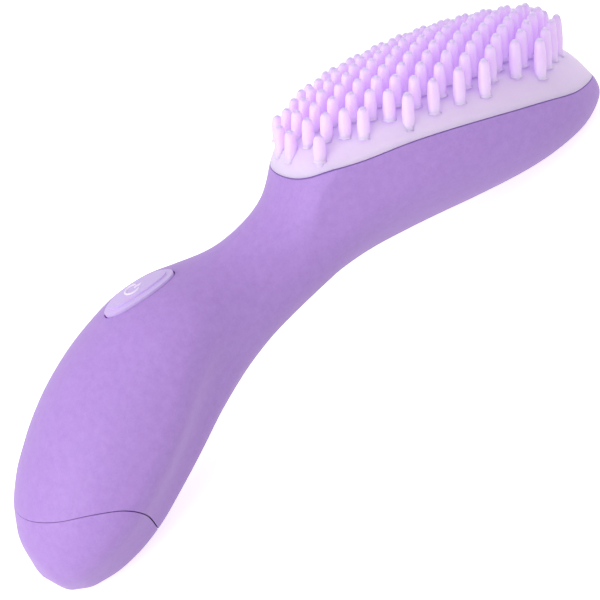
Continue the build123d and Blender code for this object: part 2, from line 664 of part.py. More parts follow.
with BuildPart() as pad_frame_rim:
    add(fittings_outside)
    add(pad_zone(PAD_FRAME_SKIRT), mode=Mode.INTERSECT)
    add(pad_zone(-0.5), mode=Mode.SUBTRACT)

with BuildPart() as pad_frame:
    add(frame_outside)
    add(above_pad_line, mode=Mode.INTERSECT)
    add(pad_frame_rim.part)
    add(pad_frame_hollow.part, mode=Mode.SUBTRACT)
    for x, y in pad_screws_at:
        seat = pad_screw_frame(x, y).offset(-PAD_SCREW_SEAT)
        add(round_bar(seat, SCREW_DIAMETER / 2 + SCREW_CLEARANCE, -12, 0), mode=Mode.SUBTRACT)
        add(round_bar(seat, SCREW_HEAD_DIAMETER / 2 + SCREW_CLEARANCE, 0, 12), mode=Mode.SUBTRACT)
finish_piece(pad_frame, "pad_frame")

with BuildPart() as pad_frame_screws:
    for x, y in pad_screws_at:
        add(screw(pad_screw_frame(x, y).offset(-PAD_SCREW_SEAT), -1))
finish_piece(pad_frame_screws, "pad_frame_screws")

# ---------------------------------------------------------------- head: pad with its nubs
PAD_MIDDLE = 48.0           # X where the middle column of nubs crosses the pad's line
lean = radians(PAD_TILT)
nub_direction = (sin(lean), cos(lean))
column_direction = (cos(lean), -sin(lean))


def nub(length):
    """Nub with a rounded tip, standing on its root."""
    tip = NUB_TIP_DIAMETER / 2
    root = NUB_ROOT_DIAMETER / 2
    belly = (NUB_BELLY_DIAMETER / 2, NUB_ROOT + NUB_BELLY_PLACE * length)
    with BuildPart() as bristle:
        with BuildSketch(Plane.XZ):
            with BuildLine():
                Polyline((0, 0), (root, 0), (root, NUB_ROOT), belly, (tip, length + NUB_ROOT - tip))
                RadiusArc((tip, length + NUB_ROOT - tip), (0, length + NUB_ROOT), -tip)
                Line((0, length + NUB_ROOT), (0, 0))
            make_face()
        revolve(axis=Axis.Z)
    return bristle.part


def pad_half_width(x):
    """Half width of the pad's edge at X; zero outside the pad."""
    station = (x + BODY_LENGTH / 2) * DRAWN_LENGTH / BODY_LENGTH
    if not 0 < station < DRAWN_LENGTH:
        return 0
    _, crown, _, half, crest, *_ = outline_at(station)
    rise = (pad_line_height(x) / ARCH_SCALE - crest) / (crown - crest)
    return half * widen(station) * sqrt(max(0.0, 1 - max(0.0, rise) ** 2))


def nub_foot(across, y):
    """Where a nub meets the pad: X, height and distance along the draw direction."""
    rise = 0.0
    for _ in range(12):
        x = PAD_MIDDLE + across * column_direction[0] + rise * nub_direction[0]
        z = pad_line_height(PAD_MIDDLE) + across * column_direction[1] + rise * nub_direction[1]
        if abs(x) >= BODY_LENGTH / 2:
            return None
        rise += (crown_at(x, y) - z) * nub_direction[1]
    return x, z


def nub_places():
    """Staggered columns of nubs over the pad, as X, Y, height and length."""
    places = []
    for column in range(-NUB_COLUMNS, NUB_COLUMNS + 1):
        for row in range(-NUB_ROWS, NUB_ROWS + 1):
            y = NUB_SPACING * (row + 0.5 * (column % 2))
            foot = nub_foot(column * NUB_PITCH, y)
            if foot is None:
                continue
            x, z = foot
            reach = min(pad_half_width(x - NUB_EDGE_MARGIN), pad_half_width(x),
                        pad_half_width(x + NUB_EDGE_MARGIN))
            if abs(y) + NUB_EDGE_MARGIN > pad_half_width(x) or abs(y) > reach:
                continue
            towards_tip = (x - along(PAD_LINE[0][0])) / (BODY_LENGTH / 2 - along(PAD_LINE[0][0]))
            room = (BODY_LENGTH / 2 - NUB_TIP_MARGIN - x) / nub_direction[0]
            length = min(NUB_LENGTH + NUB_EXTRA_AT_TIP * max(0.0, towards_tip), room)
            if length > NUB_SHORTEST:
                places.append((x, y, z, round(length, 1)))
    return places


with BuildPart() as bristle_pad:
    add(outline)
    add(above_pad_line, mode=Mode.INTERSECT)
    add(pad_inside, mode=Mode.SUBTRACT)
    nubs = []
    for x, y, z, length in nub_places():
        root = (x - NUB_ROOT * nub_direction[0], y, z - NUB_ROOT * nub_direction[1])
        frame = Plane(root, x_dir=(column_direction[0], 0, column_direction[1]),
                      z_dir=(nub_direction[0], 0, nub_direction[1]))
        nubs.append(frame * nub(length))
    add(nubs)
finish_piece(bristle_pad, "bristle_pad")
print("nubs", len(nubs))

# ---------------------------------------------------------------- button and board
button_outside = body_solid(-BUTTON_PROUD)
button_dome = body_solid(-BUTTON_DOME)
button_underside = body_solid(BUTTON_DEPTH)

with BuildPart() as button_cap:
    add(oval_bar(BUTTON_LENGTH, BUTTON_WIDTH, bottom=-8))
    add(button_outside, mode=Mode.INTERSECT)
    add(oval_bar(BUTTON_LENGTH - 2 * BUTTON_RIM, BUTTON_WIDTH - 2 * BUTTON_RIM, bottom=-2) & button_dome)
    add(button_underside, mode=Mode.SUBTRACT)
    add(round_bar(BUTTON_FRAME, PLUNGER_DIAMETER / 2, -10, PLUNGER_SOCKET - BUTTON_DEPTH), mode=Mode.SUBTRACT)
finish_piece(button_cap, "button_cap")

STEM_TOP = SWITCH_HEIGHT + STEM_HEIGHT - BOARD_DEPTH
PLUNGER_END = STEM_TOP + BUTTON_TRAVEL - STEM_TRAVEL + PIN_CLEARANCE

with BuildPart() as button_plunger:
    add(round_bar(BUTTON_FRAME, PLUNGER_DIAMETER / 2, PLUNGER_END, PLUNGER_SOCKET - BUTTON_DEPTH))
    chamfer(button_plunger.edges().sort_by(Axis.Z)[0], 0.3)
finish_piece(button_plunger, "button_plunger")

seal_web_top = body_solid(SKIN + SKIN_GAP + HOUSING_WALL - SEAL_WEB)
with BuildPart() as button_seal:
    add(oval_bar(BUTTON_LENGTH + 2 * SEAL_WIDTH, BUTTON_WIDTH + 2 * SEAL_WIDTH, bottom=-8))
    add(housing_outside, mode=Mode.INTERSECT)
    add(oval_bar(BUTTON_LENGTH + 2 * BUTTON_GAP, BUTTON_WIDTH + 2 * BUTTON_GAP, bottom=-8)
        - seal_web_top, mode=Mode.SUBTRACT)
    add(housing_inside, mode=Mode.SUBTRACT)
    add(round_bar(BUTTON_FRAME, PLUNGER_DIAMETER / 2 + 3 * PIN_CLEARANCE, -10, 5), mode=Mode.SUBTRACT)
finish_piece(button_seal, "button_seal")

board_middle = BOARD_LENGTH / 2 - BOARD_REAR
with BuildPart() as circuit_board:
    with BuildSketch(BUTTON_FRAME.offset(-BOARD_DEPTH - BOARD_THICKNESS)):
        with Locations((board_middle, 0)):
            RectangleRounded(BOARD_LENGTH, BOARD_WIDTH, 1.0)
        with Locations(*BOARD_POSTS):
            Circle(PIN_RADIUS + PIN_CLEARANCE, mode=Mode.SUBTRACT)
    extrude(amount=BOARD_THICKNESS)
finish_piece(circuit_board, "circuit_board")

with BuildPart() as tactile_switch:
    with BuildSketch(BUTTON_FRAME.offset(-BOARD_DEPTH)):
        RectangleRounded(SWITCH_SIZE, SWITCH_SIZE, 0.5)
    extrude(amount=SWITCH_HEIGHT)
    add(round_bar(BUTTON_FRAME, STEM_DIAMETER / 2 + PIN_CLEARANCE,
                  STEM_TOP - STEM_HEIGHT - STEM_ROOT - STEM_TRAVEL - PIN_CLEARANCE, 0), mode=Mode.SUBTRACT)
finish_piece(tactile_switch, "tactile_switch")

with BuildPart() as switch_stem:
    add(round_bar(BUTTON_FRAME, STEM_DIAMETER / 2, STEM_TOP - STEM_HEIGHT - STEM_ROOT, STEM_TOP))
finish_piece(switch_stem, "switch_stem")

board_underside = BUTTON_FRAME.offset(-BOARD_DEPTH - BOARD_THICKNESS)
with BuildPart() as controller_chip:
    with BuildSketch(board_underside):
        with Locations((CHIP_PLACE, 0)):
            Rectangle(5.0, 4.4)
    extrude(amount=-1.2)
    with BuildSketch(board_underside):
        with Locations((CHIP_PLACE, 0)):
            with GridLocations(1.27, 5.6, 4, 2):
                Rectangle(0.45, 1.3)
    extrude(amount=-0.5)
finish_piece(controller_chip, "controller_chip")

with BuildPart() as board_capacitor:
    with BuildSketch(board_underside):
        with Locations((CHIP_PLACE - 5.2, 0)):
            Circle(1.6)
    extrude(amount=-2.2)
    chamfer(board_capacitor.edges().filter_by(GeomType.CIRCLE).sort_by(Axis.Z)[0], 0.3)
finish_piece(board_capacitor, "board_capacitor")

# ---------------------------------------------------------------- motor
MOTOR_RADIUS = MOTOR_DIAMETER / 2
MOTOR_FRONT = MOTOR_LENGTH / 2
MAGNET_BORE = MOTOR_RADIUS - MOTOR_WALL - MAGNET_THICKNESS
SHAFT_RADIUS = SHAFT_DIAMETER / 2
WEIGHT_START = MOTOR_FRONT + WEIGHT_GAP
can_rear = MOTOR_END - MOTOR_FRONT

with BuildPart() as motor_can:
    add(round_bar(MOTOR_FRAME, MOTOR_RADIUS, can_rear, MOTOR_FRONT))
    add(round_bar(MOTOR_FRAME, MOTOR_RADIUS - MOTOR_WALL, can_rear, MOTOR_FRONT - MOTOR_WALL),
        mode=Mode.SUBTRACT)
    add(round_bar(MOTOR_FRAME, 2.6, MOTOR_FRONT, MOTOR_FRONT + 0.8))
    add(round_bar(MOTOR_FRAME, SHAFT_RADIUS + SHAFT_CLEARANCE, 0, MOTOR_FRONT + 2), mode=Mode.SUBTRACT)
finish_piece(motor_can, "motor_can")

with BuildPart() as motor_endcap:
    add(round_bar(MOTOR_FRAME, MOTOR_RADIUS, -MOTOR_FRONT, can_rear))
    add(round_bar(MOTOR_FRAME, SHAFT_RADIUS + SHAFT_CLEARANCE, -MOTOR_FRONT + 0.6, can_rear + 1),
        mode=Mode.SUBTRACT)
    with BuildSketch(MOTOR_FRAME.offset(-MOTOR_FRONT)):
        with Locations((LEAD_SPACING / 2, 0), (-LEAD_SPACING / 2, 0)):
            Circle(LEAD_DIAMETER / 2)
    extrude(amount=1.2, mode=Mode.SUBTRACT)
finish_piece(motor_endcap, "motor_endcap")

with BuildPart() as motor_magnets:
    add(round_bar(MOTOR_FRAME, MOTOR_RADIUS - MOTOR_WALL, -ROTOR_LENGTH / 2, ROTOR_LENGTH / 2))
    add(round_bar(MOTOR_FRAME, MAGNET_BORE, -ROTOR_LENGTH, ROTOR_LENGTH), mode=Mode.SUBTRACT)
    with BuildSketch(MOTOR_FRAME.offset(-ROTOR_LENGTH)):
        Rectangle(2.4, 2 * MOTOR_DIAMETER)
    extrude(amount=2 * ROTOR_LENGTH, mode=Mode.SUBTRACT)
finish_piece(motor_magnets, "motor_magnets")

with BuildPart() as motor_rotor:
    with BuildSketch(MOTOR_FRAME.offset(-ROTOR_LENGTH / 2)):
        Circle(MAGNET_BORE - ROTOR_CLEARANCE)
        with PolarLocations(MAGNET_BORE - ROTOR_CLEARANCE, 3):
            Rectangle(3.0, 0.9, mode=Mode.SUBTRACT)
        Circle(SHAFT_RADIUS, mode=Mode.SUBTRACT)
    extrude(amount=ROTOR_LENGTH)
finish_piece(motor_rotor, "motor_rotor")

with BuildPart() as motor_shaft:
    add(round_bar(MOTOR_FRAME, SHAFT_RADIUS, -MOTOR_FRONT + 0.8, WEIGHT_START + WEIGHT_LENGTH + 0.5))
    chamfer(motor_shaft.edges().filter_by(GeomType.CIRCLE), 0.2)
finish_piece(motor_shaft, "motor_shaft")

with BuildPart() as eccentric_weight:
    with BuildSketch(MOTOR_FRAME.offset(WEIGHT_START)):
        with Locations((0, -WEIGHT_RADIUS)):
            Rectangle(2 * WEIGHT_RADIUS, 2 * WEIGHT_RADIUS)
        Circle(WEIGHT_RADIUS, mode=Mode.INTERSECT)
        Circle(2.0)
        Circle(SHAFT_RADIUS, mode=Mode.SUBTRACT)
    extrude(amount=WEIGHT_LENGTH)
finish_piece(eccentric_weight, "eccentric_weight")

with BuildPart() as motor_cradle:
    with BuildSketch(MOTOR_FRAME.offset(-CRADLE_LENGTH / 2)):
        with Locations((0, 1 - CRADLE_WIDTH)):
            Rectangle(CRADLE_WIDTH, 2 * CRADLE_WIDTH)
    extrude(amount=CRADLE_LENGTH)
    add(fittings_outside, mode=Mode.INTERSECT)
    add(round_bar(MOTOR_FRAME, MOTOR_RADIUS + CRADLE_CLEARANCE, -MOTOR_LENGTH, MOTOR_LENGTH), mode=Mode.SUBTRACT)
    with BuildSketch(MOTOR_FRAME.offset(-MOTOR_LENGTH)):
        Rectangle(MOTOR_DIAMETER + 2 * CRADLE_CLEARANCE, 4.0, align=(Align.CENTER, Align.MIN))
    extrude(amount=2 * MOTOR_LENGTH, mode=Mode.SUBTRACT)
finish_piece(motor_cradle, "motor_cradle")

# ---------------------------------------------------------------- leads
def in_side_view(frame, x, z):
    """Side-view coordinates of a point given in a frame."""
    point = frame.from_local_coords((x, 0, z) if frame is BUTTON_FRAME else (0, x, z))
    return point.X, point.Z


def lead(points, y):
    """Lead of round wire in a plane square to Y, with rounded corners."""
    with BuildPart() as wire:
        with BuildLine(Plane.XZ.offset(-y)) as route:
            FilletPolyline(*points, radius=LEAD_BEND)
        with BuildSketch(Plane(route.line @ 0, z_dir=route.line % 0)):
            Circle(LEAD_DIAMETER / 2)
        sweep()
    return wire.part


tab_end = SLEEVE_END + TAB_LENGTH
board_bottom = -BOARD_DEPTH - BOARD_THICKNESS
battery_lead_points = [
    in_side_view(GRIP_FRAME, 0, tab_end + 0.05),
    in_side_view(GRIP_FRAME, 0, tab_end + 4.0),
    in_side_view(BUTTON_FRAME, BATTERY_LEAD_PLACE, board_bottom - LEAD_END_GAP),
]
motor_lead_points = [
    in_side_view(BUTTON_FRAME, MOTOR_LEAD_PLACE, board_bottom - LEAD_END_GAP),
    in_side_view(BUTTON_FRAME, MOTOR_LEAD_PLACE + 0.8, board_bottom - 5.5),
    (along(73), ARCH_SCALE * 27.5),
    (along(87), ARCH_SCALE * 27.1),
    (along(100), ARCH_SCALE * 27.9),
    in_side_view(MOTOR_FRAME, 0, -MOTOR_FRONT - 3.0),
    in_side_view(MOTOR_FRAME, 0, -MOTOR_FRONT + 1.1),
]

with BuildPart() as battery_leads:
    for side in (1, -1):
        add(lead(battery_lead_points, side * CELL_PITCH / 2))
finish_piece(battery_leads, "battery_leads")

with BuildPart() as motor_leads:
    for side in (1, -1):
        add(lead(motor_lead_points, side * LEAD_SPACING / 2))
finish_piece(motor_leads, "motor_leads")
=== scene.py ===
import bpy
import bmesh
import json
import math
from mathutils import Matrix, Vector
from mathutils.bvhtree import BVHTree


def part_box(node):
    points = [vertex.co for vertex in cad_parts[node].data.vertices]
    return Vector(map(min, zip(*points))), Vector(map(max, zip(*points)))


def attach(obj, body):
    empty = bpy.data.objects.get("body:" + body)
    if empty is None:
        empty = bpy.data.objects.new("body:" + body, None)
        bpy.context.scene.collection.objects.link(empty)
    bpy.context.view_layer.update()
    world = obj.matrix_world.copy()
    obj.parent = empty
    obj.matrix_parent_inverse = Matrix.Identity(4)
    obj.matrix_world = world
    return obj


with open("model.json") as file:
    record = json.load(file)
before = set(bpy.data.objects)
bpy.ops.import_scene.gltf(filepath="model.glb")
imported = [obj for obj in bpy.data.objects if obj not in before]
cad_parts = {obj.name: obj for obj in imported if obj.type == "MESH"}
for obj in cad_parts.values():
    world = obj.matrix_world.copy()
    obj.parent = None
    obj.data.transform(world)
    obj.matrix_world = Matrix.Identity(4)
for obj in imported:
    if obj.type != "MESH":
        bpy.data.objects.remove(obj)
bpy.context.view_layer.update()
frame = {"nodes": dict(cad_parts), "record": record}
MM = 0.001


# ---------------------------------------------------------------- material tools
def group(name, outputs, inputs=()):
    """New shader node group with the given sockets, its input and output nodes and a node maker."""
    tree = bpy.data.node_groups.new(name, "ShaderNodeTree")
    for label, kind, value in inputs:
        socket = tree.interface.new_socket(name=label, in_out="INPUT", socket_type=kind)
        socket.default_value = value
    for label, kind in outputs:
        tree.interface.new_socket(name=label, in_out="OUTPUT", socket_type=kind)
    return tree, tree.nodes.new("NodeGroupInput"), tree.nodes.new("NodeGroupOutput")


def noise(tree, vector, scale, detail=3.0, roughness=0.5):
    node = tree.nodes.new("ShaderNodeTexNoise")
    node.inputs["Scale"].default_value = scale
    node.inputs["Detail"].default_value = detail
    node.inputs["Roughness"].default_value = roughness
    tree.links.new(vector, node.inputs["Vector"])
    return node.outputs["Fac"]


def spread(tree, value, low, high):
    """Maps a value from 0..1 to low..high."""
    node = tree.nodes.new("ShaderNodeMapRange")
    node.inputs["From Min"].default_value = 0.25
    node.inputs["From Max"].default_value = 0.75
    node.inputs["To Min"].default_value = low
    node.inputs["To Max"].default_value = high
    tree.links.new(value, node.inputs["Value"])
    return node.outputs["Result"]


def mixed(tree, factor, first, second):
    """Colour between two colours; each is a value or a socket."""
    node = tree.nodes.new("ShaderNodeMix")
    node.data_type = "RGBA"
    tree.links.new(factor, node.inputs["Factor"])
    for socket, colour in ((node.inputs[6], first), (node.inputs[7], second)):
        if isinstance(colour, (tuple, list)):
            socket.default_value = (*colour[:3], 1)
        else:
            tree.links.new(colour, socket)
    return node.outputs[2]


def bumped(tree, height, strength, distance, under=None):
    node = tree.nodes.new("ShaderNodeBump")
    node.inputs["Strength"].default_value = strength
    node.inputs["Distance"].default_value = distance
    tree.links.new(height, node.inputs["Height"])
    if under is not None:
        tree.links.new(under, node.inputs["Normal"])
    return node.outputs["Normal"]


def object_coords(tree, scale=(1, 1, 1), turn=(0, 0, 0)):
    coords = tree.nodes.new("ShaderNodeTexCoord")
    mapping = tree.nodes.new("ShaderNodeMapping")
    mapping.inputs["Scale"].default_value = scale
    mapping.inputs["Rotation"].default_value = turn
    tree.links.new(coords.outputs["Object"], mapping.inputs["Vector"])
    return mapping.outputs["Vector"]


SURFACE = (("Color", "NodeSocketColor"), ("Roughness", "NodeSocketFloat"), ("Normal", "NodeSocketVector"))


def srgb(red, green, blue):
    """Linear colour of a screen colour."""
    out = []
    for value in (red, green, blue):
        value /= 255
        out.append(value / 12.92 if value <= 0.04045 else ((value + 0.055) / 1.055) ** 2.4)
    return tuple(out)


def material(name, tree, **values):
    """Material whose Principled shader takes colour, roughness and normal from a group."""
    made = bpy.data.materials.new(name)
    made.use_nodes = True
    nodes, links = made.node_tree.nodes, made.node_tree.links
    shader = next(node for node in nodes if node.type == "BSDF_PRINCIPLED")
    pattern = nodes.new("ShaderNodeGroup")
    pattern.node_tree = tree
    links.new(pattern.outputs["Color"], shader.inputs["Base Color"])
    links.new(pattern.outputs["Roughness"], shader.inputs["Roughness"])
    links.new(pattern.outputs["Normal"], shader.inputs["Normal"])
    for label, value in values.items():
        shader.inputs[label.replace("_", " ")].default_value = value
    made.diffuse_color = (*shader.inputs["Base Color"].default_value[:3], 1)
    return made


def speckled(name, base, dark, light, rough, grain, bump, cloud=45.0):
    """Moulded surface: broad soft shade changes, fine grain, roughness that follows both."""
    tree, _, out = group(name, SURFACE)
    at = object_coords(tree)
    broad = noise(tree, at, cloud, 3.0)
    fine = noise(tree, at, grain, 4.0, 0.6)
    shade = mixed(tree, spread(tree, broad, 0.0, 1.0), dark, light)
    colour = mixed(tree, spread(tree, fine, 0.0, 0.55), base, shade)
    tree.links.new(colour, out.inputs["Color"])
    tree.links.new(spread(tree, fine, rough - 0.06, rough + 0.06), out.inputs["Roughness"])
    tree.links.new(bumped(tree, fine, 0.35, bump), out.inputs["Normal"])
    return tree


def toned(colour, factor):
    return tuple(min(1.0, channel * factor) for channel in colour)


def moulded(name, colour, rough=0.45, grain=2600.0, bump=0.00003, **values):
    tree = speckled(name + "_pattern", colour, toned(colour, 0.88), toned(colour, 1.1), rough, grain, bump)
    return material(name, tree, **values)


def drawn_metal(name, colour, rough=0.3, turn=(0, 0, 0), stretch=(60, 60, 3)):
    """Metal with fine draw lines, small stains and scratches that change its roughness."""
    tree, _, out = group(name + "_pattern", SURFACE)
    lines = noise(tree, object_coords(tree, stretch, turn), 60.0, 4.0, 0.7)
    stains = noise(tree, object_coords(tree), 260.0, 4.0)
    colour_out = mixed(tree, spread(tree, stains, 0.0, 1.0), toned(colour, 0.85), colour)
    worn = mixed(tree, spread(tree, lines, 0.0, 0.35), colour_out, toned(colour, 1.15))
    tree.links.new(worn, out.inputs["Color"])
    tree.links.new(spread(tree, lines, rough - 0.08, rough + 0.12), out.inputs["Roughness"])
    tree.links.new(bumped(tree, lines, 0.25, 0.00003), out.inputs["Normal"])
    return material(name, tree, Metallic=1.0)


# ---------------------------------------------------------------- the outside's materials
SKIN = srgb(180, 140, 218)
PAD = srgb(234, 210, 252)
NUBS = srgb(236, 206, 253)
PAINTED_INNER_GLOW = (0.55, 0.35, 1.0, 1.0)     # painted glow: emission colour standing in for light scattered through the silicone


def soft_skin():
    """Soft-touch coating: velvety grain, faint cloudiness and slightly shinier handled patches."""
    tree, _, out = group("soft_touch_pattern", SURFACE)
    at = object_coords(tree)
    cloud = noise(tree, at, 28.0, 3.0)
    grain = noise(tree, at, 2300.0, 5.0, 0.65)
    mottle = noise(tree, at, 620.0, 4.0, 0.6)
    base = mixed(tree, spread(tree, cloud, 0.0, 1.0), toned(SKIN, 0.965), toned(SKIN, 1.03))
    colour = mixed(tree, spread(tree, grain, 0.0, 0.55), base, srgb(150, 112, 198))
    colour = mixed(tree, spread(tree, mottle, 0.0, 0.40), colour, srgb(198, 160, 233))
    tree.links.new(colour, out.inputs["Color"])
    tree.links.new(spread(tree, mottle, 0.50, 0.62), out.inputs["Roughness"])
    fine = bumped(tree, grain, 0.32, 0.00004)
    tree.links.new(bumped(tree, mottle, 0.12, 0.00006, fine), out.inputs["Normal"])
    return material("soft_touch_skin", tree, Sheen_Weight=0.14, Sheen_Roughness=0.45,
                    Sheen_Tint=(0.92, 0.86, 1.0, 1.0), Subsurface_Weight=0.06, Subsurface_Scale=0.002)


def silicone(name, tint, softness, glow):
    """Translucent silicone: nearly even colour, faint haze, a satin surface and a painted glow standing in
    for light scattered through it.
    """
    tree, _, out = group(name + "_pattern", SURFACE)
    at = object_coords(tree)
    haze = noise(tree, at, 120.0, 3.0)
    dust = noise(tree, at, 1500.0, 4.0)
    colour = mixed(tree, spread(tree, haze, 0.0, 1.0), toned(tint, 0.955), toned(tint, 1.03))
    colour = mixed(tree, spread(tree, dust, 0.0, 0.15), colour, srgb(240, 226, 252))
    tree.links.new(colour, out.inputs["Color"])
    tree.links.new(spread(tree, dust, 0.36, 0.48), out.inputs["Roughness"])
    tree.links.new(bumped(tree, dust, 0.12, 0.00003), out.inputs["Normal"])
    # the emission paints a faint glow onto the silicone in place of light scattered through it
    return material(name, tree, Subsurface_Weight=softness, Subsurface_Scale=0.004,
                    Subsurface_Radius=(1.0, 0.75, 1.1), Sheen_Weight=0.1,
                    Emission_Color=PAINTED_INNER_GLOW, Emission_Strength=glow)


def cell_wrap():
    """Shrink-wrapped cell: dark sleeve and a copper-coloured band at one end."""
    tree, _, out = group("cell_pattern", SURFACE)
    along = tree.nodes.new("ShaderNodeSeparateXYZ")
    tree.links.new(object_coords(tree, turn=(0, math.radians(19), 0)), along.inputs["Vector"])
    band = tree.nodes.new("ShaderNodeMapRange")
    band.inputs["From Min"].default_value = -0.0375
    band.inputs["From Max"].default_value = -0.0372
    tree.links.new(along.outputs["X"], band.inputs["Value"])
    scuff = noise(tree, object_coords(tree), 700.0, 4.0)
    sleeve = mixed(tree, spread(tree, scuff, 0.0, 0.4), (0.03, 0.035, 0.045), (0.08, 0.085, 0.1))
    cap = mixed(tree, spread(tree, scuff, 0.0, 0.4), (0.55, 0.30, 0.12), (0.7, 0.42, 0.2))
    tree.links.new(mixed(tree, band.outputs["Result"], sleeve, cap), out.inputs["Color"])
    tree.links.new(spread(tree, scuff, 0.22, 0.4), out.inputs["Roughness"])
    tree.links.new(bumped(tree, scuff, 0.2, 0.00003), out.inputs["Normal"])
    return material("cell_wrap", tree, Metallic=0.35, Coat_Weight=0.4)


def solder_mask():
    """Circuit board: green mask with faint copper tracks under it."""
    tree, _, out = group("board_pattern", SURFACE)
    at = object_coords(tree)
    tracks = tree.nodes.new("ShaderNodeTexBrick")
    tracks.inputs["Scale"].default_value = 420.0
    tracks.inputs["Mortar Size"].default_value = 0.03
    tree.links.new(at, tracks.inputs["Vector"])
    weave = noise(tree, at, 1800.0, 3.0)
    base = mixed(tree, spread(tree, weave, 0.0, 0.5), (0.008, 0.08, 0.03), (0.015, 0.13, 0.05))
    tree.links.new(mixed(tree, tracks.outputs["Fac"], base, (0.04, 0.24, 0.09)), out.inputs["Color"])
    tree.links.new(spread(tree, weave, 0.25, 0.4), out.inputs["Roughness"])
    tree.links.new(bumped(tree, tracks.outputs["Fac"], 0.3, 0.00004), out.inputs["Normal"])
    return material("solder_mask", tree, Coat_Weight=0.3)


def windings():
    """Rotor: dark laminations with copper windings showing between them."""
    tree, _, out = group("rotor_pattern", SURFACE)
    turns = tree.nodes.new("ShaderNodeTexWave")
    turns.inputs["Scale"].default_value = 900.0
    turns.inputs["Distortion"].default_value = 1.5
    tree.links.new(object_coords(tree, turn=(0, math.radians(-26), 0)), turns.inputs["Vector"])
    colour = mixed(tree, turns.outputs["Fac"], (0.09, 0.05, 0.035), (0.55, 0.24, 0.10))
    tree.links.new(colour, out.inputs["Color"])
    tree.links.new(spread(tree, turns.outputs["Fac"], 0.35, 0.55), out.inputs["Roughness"])
    tree.links.new(bumped(tree, turns.outputs["Fac"], 0.4, 0.0001), out.inputs["Normal"])
    return material("windings", tree, Metallic=0.6)


finishes = {
    "soft_skin": soft_skin(),
    # the pad silicone gets a painted glow of strength 0.07
    "pad_silicone": silicone("pad_silicone", PAD, 0.6, 0.07),
    "button_plastic": moulded("button_plastic", srgb(212, 188, 243), 0.34, 1900.0, 0.00002,
                              Coat_Weight=0.12, Coat_Roughness=0.3, Subsurface_Weight=0.1,
                              Subsurface_Scale=0.001),
    "seal_silicone": moulded("seal_silicone", srgb(118, 88, 160), 0.55),
    "housing_plastic": moulded("housing_plastic", srgb(222, 218, 230), 0.42),
    "inner_plastic": moulded("inner_plastic", srgb(228, 228, 222), 0.4),
    "screw_steel": drawn_metal("screw_steel", (0.60, 0.60, 0.62), 0.3),
    "cell_wrap": cell_wrap(),
    "contact_nickel": drawn_metal("contact_nickel", (0.72, 0.69, 0.62), 0.25, stretch=(8, 60, 60)),
    "board_green": solder_mask(),
    "switch_black": moulded("switch_black", (0.02, 0.02, 0.024), 0.4),
    "motor_steel": drawn_metal("motor_steel", (0.62, 0.62, 0.64), 0.28, (0, math.radians(-26), 0),
                               (3, 60, 60)),
    "magnet_grey": moulded("magnet_grey", (0.05, 0.05, 0.055), 0.5, 1800.0, 0.00005, Metallic=0.4),
    "rotor_iron": windings(),
    "weight_metal": drawn_metal("weight_metal", (0.45, 0.44, 0.40), 0.42),
    "lead_red": moulded("lead_red", (0.42, 0.02, 0.02), 0.38),
    "lead_black": moulded("lead_black", (0.015, 0.015, 0.018), 0.4),
}
for part in frame["record"]["subparts"]:
    node = frame["nodes"][part["node"]]
    node.data.materials.clear()
    node.data.materials.append(finishes[part["material_slot"]])

# ---------------------------------------------------------------- power symbol on the button
BUTTON_TILT = math.radians(8.5)
button_up = Vector((math.sin(BUTTON_TILT), 0, math.cos(BUTTON_TILT)))
button_along = Vector((math.cos(BUTTON_TILT), 0, -math.sin(BUTTON_TILT)))
across = Vector((0, 1, 0))
low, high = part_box("button_cap")
button_middle = Vector(((low[0] + high[0]) / 2, 0, high[2]))


def surface_of(node):
    mesh = bmesh.new()
    mesh.from_mesh(frame["nodes"][node].data)
    tree = BVHTree.FromBMesh(mesh)
    mesh.free()
    return tree


button_surface = surface_of("button_cap")


def on_button(u, v):
    """Point and normal of the button's face at distances along and across it."""
    start = button_middle + button_along * u + across * v + button_up * 0.01
    point, normal, _, _ = button_surface.ray_cast(start, -button_up)
    return point, (normal if normal.dot(button_up) > 0 else -normal)


def ridge(mesh, line, half_width, height, closed=False):
    """Raised bead along points on the button's face, with domed ends."""
    rings = []
    count = len(line)
    steps = 10
    for index, (u, v) in enumerate(line):
        ahead = line[min(index + 1, count - 1)]
        behind = line[max(index - 1, 0)]
        way = Vector((ahead[0] - behind[0], ahead[1] - behind[1])).normalized()
        side = Vector((-way.y, way.x))
        from_end = min(index, count - 1 - index)
        swell = min(1.0, math.sqrt(max(0.0, (from_end + 0.35) / 3.0)))
        ring = []
        for step in range(steps):
            angle = 2 * math.pi * step / steps
            shift = side * (math.cos(angle) * half_width * swell)
            point, normal = on_button(u + shift.x, v + shift.y)
            ring.append(mesh.verts.new(point + normal * (math.sin(angle) * height * swell)))
        rings.append(ring)
    for first, second in zip(rings, rings[1:]):
        for step in range(steps):
            after = (step + 1) % steps
            mesh.faces.new((first[step], first[after], second[after], second[step]))
    mesh.faces.new(rings[0][::-1])
    mesh.faces.new(rings[-1])


SYMBOL_PLACE = -0.3 * MM
SYMBOL_RADIUS = 1.75 * MM
BEAD = 0.30 * MM
BEAD_HEIGHT = 0.24 * MM
icon = bmesh.new()
gap = math.radians(34)
arc = []
for count in range(45):
    angle = gap + (2 * math.pi - 2 * gap) * count / 44
    arc.append((SYMBOL_PLACE + SYMBOL_RADIUS * math.cos(angle), SYMBOL_RADIUS * math.sin(angle)))
ridge(icon, arc, BEAD, BEAD_HEIGHT)
bar = [(SYMBOL_PLACE + SYMBOL_RADIUS * (0.25 + 1.15 * count / 12), 0.0) for count in range(13)]
ridge(icon, bar, BEAD, BEAD_HEIGHT)
bmesh.ops.recalc_face_normals(icon, faces=icon.faces)
icon_mesh = bpy.data.meshes.new("power_symbol")
icon.to_mesh(icon_mesh)
icon.free()
power_symbol = bpy.data.objects.new("power_symbol", icon_mesh)
bpy.context.scene.collection.objects.link(power_symbol)
for face in icon_mesh.polygons:
    face.use_smooth = True
symbol_finish = moulded("symbol_plastic", srgb(242, 228, 254), 0.28, 1900.0, 0.00002, Coat_Weight=0.2)
